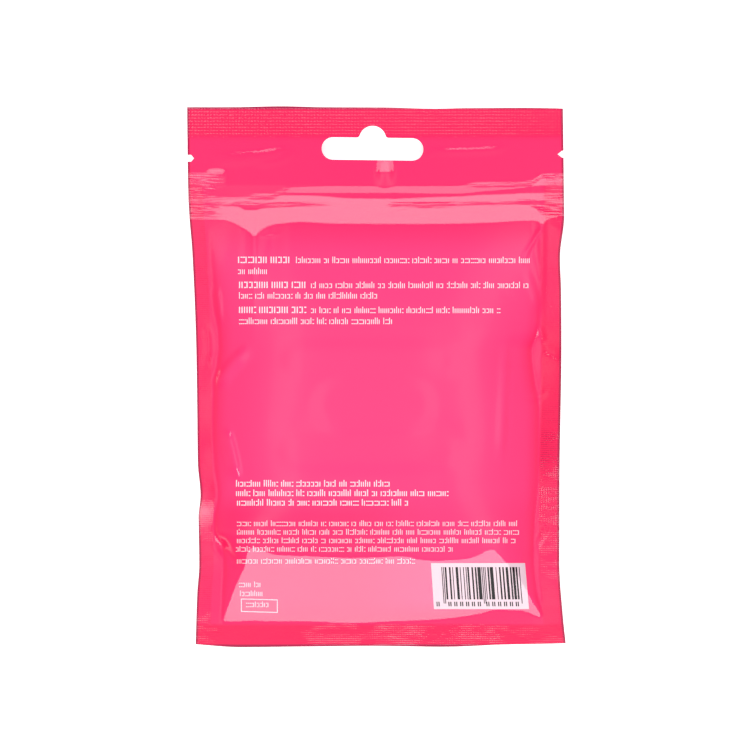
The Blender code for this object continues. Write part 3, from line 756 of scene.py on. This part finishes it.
# small upright marks under the bars, two to a digit: first share across and number of digits
DIGIT_MARKS = ((0.03, 1), (0.155, 6), (0.555, 6))
DIGIT_PITCH = 0.062
DIGIT_STROKE = 0.012
SECOND_MARK = 0.341  # of a digit's two marks, as a share of the pitch
DIGIT_TOP = 0.84
DIGIT_FOOT = 0.94
DIGIT_CELLS = 2
INK_DEPTH = 0.05  # how far a printed field reaches into the film
INK_RISE = 0.03
PRINT_SMOOTH_ANGLE = math.radians(40)


def blend(corners, u, v):
    """A point of a four-cornered field, from its shares across and down."""
    (ax, ay), (bx, by), (cx, cy), (dx, dy) = corners
    top = (ax + (bx - ax) * u, ay + (by - ay) * u)
    foot = (dx + (cx - dx) * u, dy + (cy - dy) * u)
    return top[0] + (foot[0] - top[0]) * v, top[1] + (foot[1] - top[1]) * v


def field(points, faces, corners, layer=1, across=1, down=1):
    """Adds a printed field: a thin closed slab over four corners, in across by down cells."""
    start = len(points)
    for rise in (layer * INK_RISE, -INK_DEPTH):
        for row in range(down + 1):
            for column in range(across + 1):
                points.append((*blend(corners, column / across, row / down), rise))
    under = (across + 1) * (down + 1)

    def at(column, row, side):
        return start + side * under + row * (across + 1) + column

    for row in range(down):
        for column in range(across):
            ring = ((column, row), (column, row + 1), (column + 1, row + 1), (column + 1, row))
            faces.append([at(*corner, 0) for corner in ring])
            faces.append([at(*corner, 1) for corner in reversed(ring)])
    rim = [(column, 0) for column in range(across)] + [(across, row) for row in range(down)]
    rim += [(column, down) for column in range(across, 0, -1)]
    rim += [(0, row) for row in range(down, 0, -1)]
    for one, other in zip(rim, rim[1:] + rim[:1]):
        faces.append([at(*one, 0), at(*other, 0), at(*other, 1), at(*one, 1)])


def box(left, right, top, foot):
    return (left, top), (right, top), (right, foot), (left, foot)


def small_print(points, faces, chance, style, first, last, foot):
    """A line of upright and level dashes in word-like groups. They spell nothing."""
    x = first
    stroke, pitch, low = style["stroke"], style["pitch"], style["low"]
    while x < last - 2 * pitch:
        marks = min(chance.randint(*WORD_LENGTHS), int((last - x) / pitch))
        for _ in range(marks):
            if chance.random() < UPRIGHT_SHARE:
                tall = style["tall"] if chance.random() < TALL_SHARE else low
                field(points, faces, box(x, x + stroke, foot - tall, foot))
            else:
                end = x + (pitch - MARK_GAP)
                field(points, faces, box(x, end, foot - low, foot - low + stroke))
                field(points, faces, box(x, end, foot - stroke, foot))
            x += pitch
        x += WORD_GAP


def printed(name, points, faces, material):
    """The fields as one mesh that lies on the back of the pouch."""
    x, y, rise = np.array(points).T
    x, y = spot(x, y)
    nearer = 1 - (back_height(x, y) - SEAL_LEVEL) / CAMERA_HEIGHT
    x, y = MIDDLE + (x - MIDDLE) * nearer, y * nearer
    z = back_height(x, y) + rise
    mesh = bpy.data.meshes.new(name)
    mesh.from_pydata(np.stack([x, y, z], axis=1) * MM, [], faces)
    mesh.shade_smooth()
    mesh.set_sharp_from_angle(angle=PRINT_SMOOTH_ANGLE)
    layer = bpy.data.objects.new(name, mesh)
    bpy.context.scene.collection.objects.link(layer)
    mesh.materials.append(material)
    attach(layer, "root")


def code_frame(points, faces):
    """Four strokes round the lowest code. They don't touch, so each stays a closed slab."""
    (left, top), (right, right_top), (right_foot, foot), (left_foot, left_low) = CODE_FRAME
    stroke = FRAME_STROKE
    below, right_below = top + stroke + FRAME_GAP, right_top + stroke + FRAME_GAP
    above, right_above = left_low - FRAME_GAP, foot - FRAME_GAP
    for corners in (
        ((left, top), (right + stroke, right_top),
         (right + stroke, right_top + stroke), (left, top + stroke)),
        ((left_foot, left_low), (right_foot + stroke, foot),
         (right_foot + stroke, foot + stroke), (left_foot, left_low + stroke)),
        ((left, below), (left + stroke, below), (left_foot + stroke, above), (left_foot, above)),
        ((right, right_below), (right + stroke, right_below),
         (right_foot + stroke, right_above), (right_foot, right_above)),
    ):
        field(points, faces, corners, 1, FRAME_CELLS, FRAME_CELLS)


def white_print():
    chance = random.Random(5)
    points, faces = [], []
    for line in PRINT_LINES:
        small_print(points, faces, chance, *line)
    code_frame(points, faces)
    printed("white_print", points, faces, ink("white_gravure_ink_under_film", "#FFD4DE"))


def bar_panel():
    points, faces = [], []
    field(points, faces, BAR_PANEL, 1, *PANEL_CELLS)
    printed("bar_panel", points, faces, ink("white_ink_in_two_coats", "#D9BAC6"))


def panel_mark(points, faces, left, right, top, foot, cells):
    """A black mark on the bar panel, from its shares across and down the panel."""
    corners = [blend(BAR_PANEL, *corner) for corner in box(left, right, top, foot)]
    field(points, faces, corners, 2, 1, cells)


def black_print():
    """A row of bars of random widths, with pairs of plain marks in place of digits."""
    chance = random.Random(11)
    points, faces = [], []
    modules = BARS["modules"]
    module = (BARS["last"] - BARS["first"]) / modules
    place = 0
    while place < modules:
        wide = chance.choice(BAR_WIDTHS)
        guard = (place < GUARD or place > modules - GUARD - 1
                 or abs(place - modules / 2) < GUARD)
        foot = BARS["guard_foot"] if guard else BARS["foot"]
        wide = 1 if guard else min(wide, modules - place)
        left = BARS["first"] + place * module
        panel_mark(points, faces, left, left + wide * module, BARS["top"], foot, BAR_CELLS)
        place += wide + (1 if guard else chance.choice(GAP_WIDTHS))
    for first, count in DIGIT_MARKS:
        for index in range(count):
            for part in (0.0, SECOND_MARK):
                left = first + (index + part) * DIGIT_PITCH
                panel_mark(points, faces, left, left + DIGIT_STROKE, DIGIT_TOP, DIGIT_FOOT,
                           DIGIT_CELLS)
    printed("black_print", points, faces, ink("black_gravure_ink_under_film", "#120A0E", 0.25))


# Colours and surface of the film
FILM_PINK = "#FF2262"
# painted sheen: a paler pink over the contents, for the raised back's brighter light
PAINTED_SHEEN_PINK = "#FF3474"
# darker pink of the seals: partly the weld's own look, partly painted shade
WELD_AND_SHADE_PINK = "#EC0C50"
# painted shade in the grooves between the seals' ribs
GROOVE_SHADE_RED = "#A80C44"
# painted shade along the cut edge
CUT_EDGE_SHADE_RED = "#9C1042"
WHITE = "#FFFFFF"
PAPER_WHITE = "#F3F3F3"
FILM_METALLIC = 0.15
BASE_ROUGHNESS = 0.5
GLOSS_ROUGHNESS = 0.04
PAPER_ROUGHNESS = 0.9
# Relief of the film, in millimetres
WAFFLE_PITCH = 1.0
WAFFLE_RELIEF = 0.0100
RIB_PITCH = 0.637  # of the side and bottom seals
DOT_PITCH = 0.75  # along a rib
RIB_RELIEF = 0.032
DOT_SHARE = 0.30  # how much of a wave's height comes and goes along it
RIB_PATCHES = (0.16, 0.34)  # in a millimetre: patches about 6 mm wide and 3 mm tall
PATCH_RANGE = (0.38, 0.62)
PATCH_LEAST = 0.4
# painted shade in the groove beside each rib: where it lies and how strong
GROOVE_SHADE_SHIFT = 0.25  # the dark groove beside each rib, as a share of the pitch
GROOVE_SHADE_STRENGTH = 0.9
STREAKS_IN_MM = (0.10, 1.7)  # streaks about 10 mm long and 0.6 mm apart
STREAK_DEPTH = 0.34
GRAIN_SIZE = 0.6
GRAIN_RELIEF = 0.007


def linear(hex_colour):
    """An sRGB hex colour as the linear values that a shader takes."""
    parts = [int(hex_colour[start:start + 2], 16) / 255 for start in (1, 3, 5)]
    return [part / 12.92 if part <= 0.04045 else ((part + 0.055) / 1.055) ** 2.4
            for part in parts] + [1]


def add(tree, kind, settings=None, **inputs):
    """Adds a node; in0, in1 and so on name a socket by its number, other names by its name."""
    node = tree.nodes.new(kind)
    for name, value in (settings or {}).items():
        setattr(node, name, value)
    for name, value in inputs.items():
        numbered = name.startswith("in")
        socket = node.inputs[int(name[2:]) if numbered else name.replace("_", " ")]
        if isinstance(value, bpy.types.NodeSocket):
            tree.links.new(value, socket)
        else:
            socket.default_value = value
    return node


def times(tree, one, other):
    return add(tree, "ShaderNodeMath", {"operation": "MULTIPLY"}, in0=one, in1=other).outputs[0]


def plus(tree, one, other):
    return add(tree, "ShaderNodeMath", {"operation": "ADD"}, in0=one, in1=other).outputs[0]


def mixed(tree, share, one, other):
    """Two colours mixed by a share of the other."""
    return add(tree, "ShaderNodeMix", {"data_type": "RGBA"}, in0=share, in6=one,
               in7=other).outputs[2]


def smooth_range(tree, value, start, end, at_start, at_end):
    return add(tree, "ShaderNodeMapRange", {"interpolation_type": "SMOOTHSTEP"}, in0=value,
               in1=start, in2=end, in3=at_start, in4=at_end).outputs[0]


def stored(tree, name):
    """A value that mark_zones() left on the mesh."""
    return add(tree, "ShaderNodeAttribute", {"attribute_name": name}).outputs["Fac"]


def waves(tree, axis, pitch, shift=0.0):
    """-1 to 1 along one axis, with a pitch in millimetres, shifted by a share of it."""
    turned = add(tree, "ShaderNodeMath", {"operation": "MULTIPLY_ADD"}, in0=axis,
                 in1=2 * math.pi / (pitch * MM), in2=2 * math.pi * shift)
    return add(tree, "ShaderNodeMath", {"operation": "SINE"}, in0=turned.outputs[0]).outputs[0]


def pillows(tree, axes, pitch_across, pitch_up):
    """Rows of small pillows: waves up the pouch that are weaker between the columns."""
    across = add(tree, "ShaderNodeMath", {"operation": "MULTIPLY_ADD"},
                 in0=waves(tree, axes.outputs["X"], pitch_across),
                 in1=DOT_SHARE, in2=1 - DOT_SHARE)
    return times(tree, waves(tree, axes.outputs["Y"], pitch_up), across.outputs[0])


def flat_noise(tree, place, in_mm, detail):
    """Noise over the flat pouch, with its cells in a millimetre across and up."""
    scaled = add(tree, "ShaderNodeMapping", {"vector_type": "POINT"}, Vector=place)
    scaled.inputs["Scale"].default_value = (in_mm[0] / MM, in_mm[1] / MM, 0)
    return add(tree, "ShaderNodeTexNoise", Vector=scaled.outputs["Vector"], Scale=1.0,
               Detail=detail).outputs["Fac"]


def varnished(name, gloss=1.0):
    """A half-matt surface under gloss film, whose clear coat alone mirrors the lamps."""
    material = bpy.data.materials.new(name)
    material.use_nodes = True
    surface = material.node_tree.nodes["Principled BSDF"]
    surface.inputs["Roughness"].default_value = BASE_ROUGHNESS
    surface.inputs["Specular IOR Level"].default_value = 0.0
    surface.inputs["Coat Weight"].default_value = gloss
    surface.inputs["Coat Roughness"].default_value = GLOSS_ROUGHNESS
    return material, surface


def ink(name, colour, gloss=1.0):
    """Gravure ink: to the eye an even colour under the film's gloss; the black has less gloss,
    so that it stays black."""
    material, surface = varnished(name, gloss)
    surface.inputs["Base Color"].default_value = linear(colour)
    return material


def foil_laminate():
    """Pink ink on a metallised web under gloss film. To the eye it is one strong pink, deeper
    for the little metal in it, with sharp-edged pale reflections, and paler over the contents
    by painted sheen. The welded seals are darker, partly by painted shade, with painted shade
    in the grooves between their ribs, and glint in rows of dots; the cut edge is a dark line
    of painted shade."""
    material, surface = varnished("gravure_printed_foil_laminate")
    surface.inputs["Metallic"].default_value = FILM_METALLIC
    tree = material.node_tree
    place = add(tree, "ShaderNodeTexCoord").outputs["Object"]
    axes = add(tree, "ShaderNodeSeparateXYZ", in0=place)
    crimp = add(tree, "ShaderNodeAttribute", {"attribute_name": "crimp"})
    zone = add(tree, "ShaderNodeSeparateColor", in0=crimp.outputs["Color"])
    patches = smooth_range(tree, flat_noise(tree, place, RIB_PATCHES, 3.0), *PATCH_RANGE,
                           PATCH_LEAST, 1.0)
    ribbed = times(tree, plus(tree, zone.outputs["Green"], zone.outputs["Blue"]), patches)

    # painted shade in the grooves between the seals' ribs
    groove = add(tree, "ShaderNodeMath", {"operation": "MULTIPLY", "use_clamp": True},
                 in0=times(tree, waves(tree, axes.outputs["Y"], RIB_PITCH, GROOVE_SHADE_SHIFT), ribbed),
                 in1=GROOVE_SHADE_STRENGTH)
    # painted sheen: paler pink over the contents
    pink = mixed(tree, stored(tree, "over_contents"), linear(FILM_PINK), linear(PAINTED_SHEEN_PINK))
    # darker pink of the seals, partly painted shade
    pink = mixed(tree, crimp.outputs["Alpha"], pink, linear(WELD_AND_SHADE_PINK))
    pink = mixed(tree, groove.outputs[0], pink, linear(GROOVE_SHADE_RED))
    # painted shade along the cut edge
    pink = mixed(tree, stored(tree, "cut_edge_shade"), pink, linear(CUT_EDGE_SHADE_RED))
    tree.links.new(pink, surface.inputs["Base Color"])

    waffle = times(tree, times(tree, pillows(tree, axes, WAFFLE_PITCH, WAFFLE_PITCH),
                               WAFFLE_RELIEF * MM), zone.outputs["Red"])
    ribs = times(tree, times(tree, pillows(tree, axes, DOT_PITCH, RIB_PITCH), ribbed),
                 RIB_RELIEF * MM)
    streaks = times(tree, times(tree, flat_noise(tree, place, STREAKS_IN_MM, 1.0),
                                stored(tree, "creased")), STREAK_DEPTH * MM)
    grain = add(tree, "ShaderNodeTexNoise", Vector=place, Scale=1 / (GRAIN_SIZE * MM), Detail=1.0)
    relief = plus(tree, plus(tree, waffle, ribs),
                  plus(tree, streaks, times(tree, grain.outputs["Fac"], GRAIN_RELIEF * MM)))
    bump = add(tree, "ShaderNodeBump", in3=relief)
    bump.inputs["Strength"].default_value = 1
    bump.inputs["Distance"].default_value = 1
    tree.links.new(bump.outputs["Normal"], surface.inputs["Normal"])
    tree.links.new(bump.outputs["Normal"], surface.inputs["Coat Normal"])
    return material


# Studio. The world's light tent: distance beside the camera as a direction, strength
TENT = ((0, 0.60), (0.06, 0.84), (0.13, 1.16), (0.22, 1.06), (0.36, 0.52), (0.60, 0.28),
        (1, 0.25))
TENT_AHEAD = (0.43, 0.04)  # directions ahead and behind where it ends and where it is full
WORLD_LEVEL = 0.29
HORIZON = (0.02, 0.12)
HORIZON_LEVEL = 0.5
# Lamps above the pouch: lean from straight up towards +Y in degrees, length in metres, radiance
SOFTBOXES = (
    ("softbox_top_near", 26.5, 0.236, 3.4),
    ("softbox_top_far", 38.5, 0.40, 5.0),
    ("softbox_bottom", -32, 0.64, 5.5),
)
SOFTBOX_DISTANCE = 1.5
SOFTBOX_WIDTH = 1.3
FLOOR_SIZE = 12
FLOOR_DROP = 0.2  # in millimetres, clear of the pouch's lowest plane
FLOOR_GLOW = 0.7


def light_tent(scene):
    """Soft light from all round: a little darker at the lens, brightest just beside it."""
    world = bpy.data.worlds.new("studio")
    world.use_nodes = True
    tree = world.node_tree
    towards = add(tree, "ShaderNodeTexCoord")
    ways = add(tree, "ShaderNodeSeparateXYZ", in0=towards.outputs["Generated"])
    aside = add(tree, "ShaderNodeMath", {"operation": "ABSOLUTE"}, in0=ways.outputs["X"])
    ahead = add(tree, "ShaderNodeMath", {"operation": "ABSOLUTE"}, in0=ways.outputs["Y"])
    tent = add(tree, "ShaderNodeFloatCurve", in1=aside.outputs[0])
    curve = tent.mapping.curves[0]
    curve.points[0].location = TENT[0]
    curve.points[1].location = TENT[-1]
    for reach, level in TENT[1:-1]:
        curve.points.new(reach, level)
    tent.mapping.update()
    near_top = smooth_range(tree, ahead.outputs[0], *TENT_AHEAD, 0.0, 1.0)
    glow = plus(tree, times(tree, tent.outputs[0], near_top), WORLD_LEVEL)
    horizon = smooth_range(tree, ways.outputs["Z"], *HORIZON, HORIZON_LEVEL, 0.0)
    background = tree.nodes["Background"]
    background.inputs["Color"].default_value = linear(WHITE)
    tree.links.new(plus(tree, glow, horizon), background.inputs["Strength"])
    scene.world = world


def softbox(name, lean, length, radiance):
    lamp = bpy.data.lights.new(name, "AREA")
    lamp.shape = "RECTANGLE"
    lamp.size = SOFTBOX_WIDTH
    lamp.size_y = length
    lamp.energy = radiance * math.pi * SOFTBOX_WIDTH * length
    holder = bpy.data.objects.new(name, lamp)
    lean = math.radians(lean)
    holder.location = (0, SOFTBOX_DISTANCE * math.sin(lean), SOFTBOX_DISTANCE * math.cos(lean))
    holder.rotation_euler.x = -lean
    holder.visible_camera = False
    bpy.context.scene.collection.objects.link(holder)


def matt_paper():
    """Matt white paper: to the eye a plain white ground with the pouch's soft shadow. Its glow
    is only seen, by the camera and in gloss and glass."""
    paper = bpy.data.materials.new("matt_white_paper")
    paper.use_nodes = True
    tree = paper.node_tree
    surface = tree.nodes["Principled BSDF"]
    surface.inputs["Base Color"].default_value = linear(PAPER_WHITE)
    surface.inputs["Roughness"].default_value = PAPER_ROUGHNESS
    surface.inputs["Emission Color"].default_value = linear(WHITE)
    path = add(tree, "ShaderNodeLightPath")
    seen = path.outputs["Is Camera Ray"]
    for kind in ("Is Glossy Ray", "Is Transmission Ray"):
        seen = add(tree, "ShaderNodeMath", {"operation": "MAXIMUM"}, in0=seen,
                   in1=path.outputs[kind]).outputs[0]
    tree.links.new(times(tree, seen, FLOOR_GLOW), surface.inputs["Emission Strength"])
    return paper


def studio():
    scene = bpy.context.scene
    scene.view_settings.view_transform = "Standard"
    light_tent(scene)
    for lamp in SOFTBOXES:
        softbox(*lamp)
    bpy.ops.mesh.primitive_plane_add(size=FLOOR_SIZE, location=(0, 0, -FLOOR_DROP * MM))
    floor = bpy.context.object
    floor.name = "floor"
    floor.data.materials.append(matt_paper())
    lens = bpy.data.cameras.new("camera")
    lens.sensor_width = SENSOR
    lens.lens = SENSOR * CAMERA_HEIGHT / (PHOTO_SIZE * PIXEL)
    lens.clip_start = CLIP_NEAR
    lens.clip_end = CLIP_FAR
    camera = bpy.data.objects.new("camera", lens)
    camera.location = (MIDDLE * MM, CAMERA_Y * MM, (CAMERA_HEIGHT + SEAL_LEVEL) * MM)
    scene.collection.objects.link(camera)
    scene.camera = camera


film = pouch_skin()
film.data.materials.append(foil_laminate())
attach(film, "root")
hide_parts("sealed_pouch")
white_print()
bar_panel()
black_print()
studio()
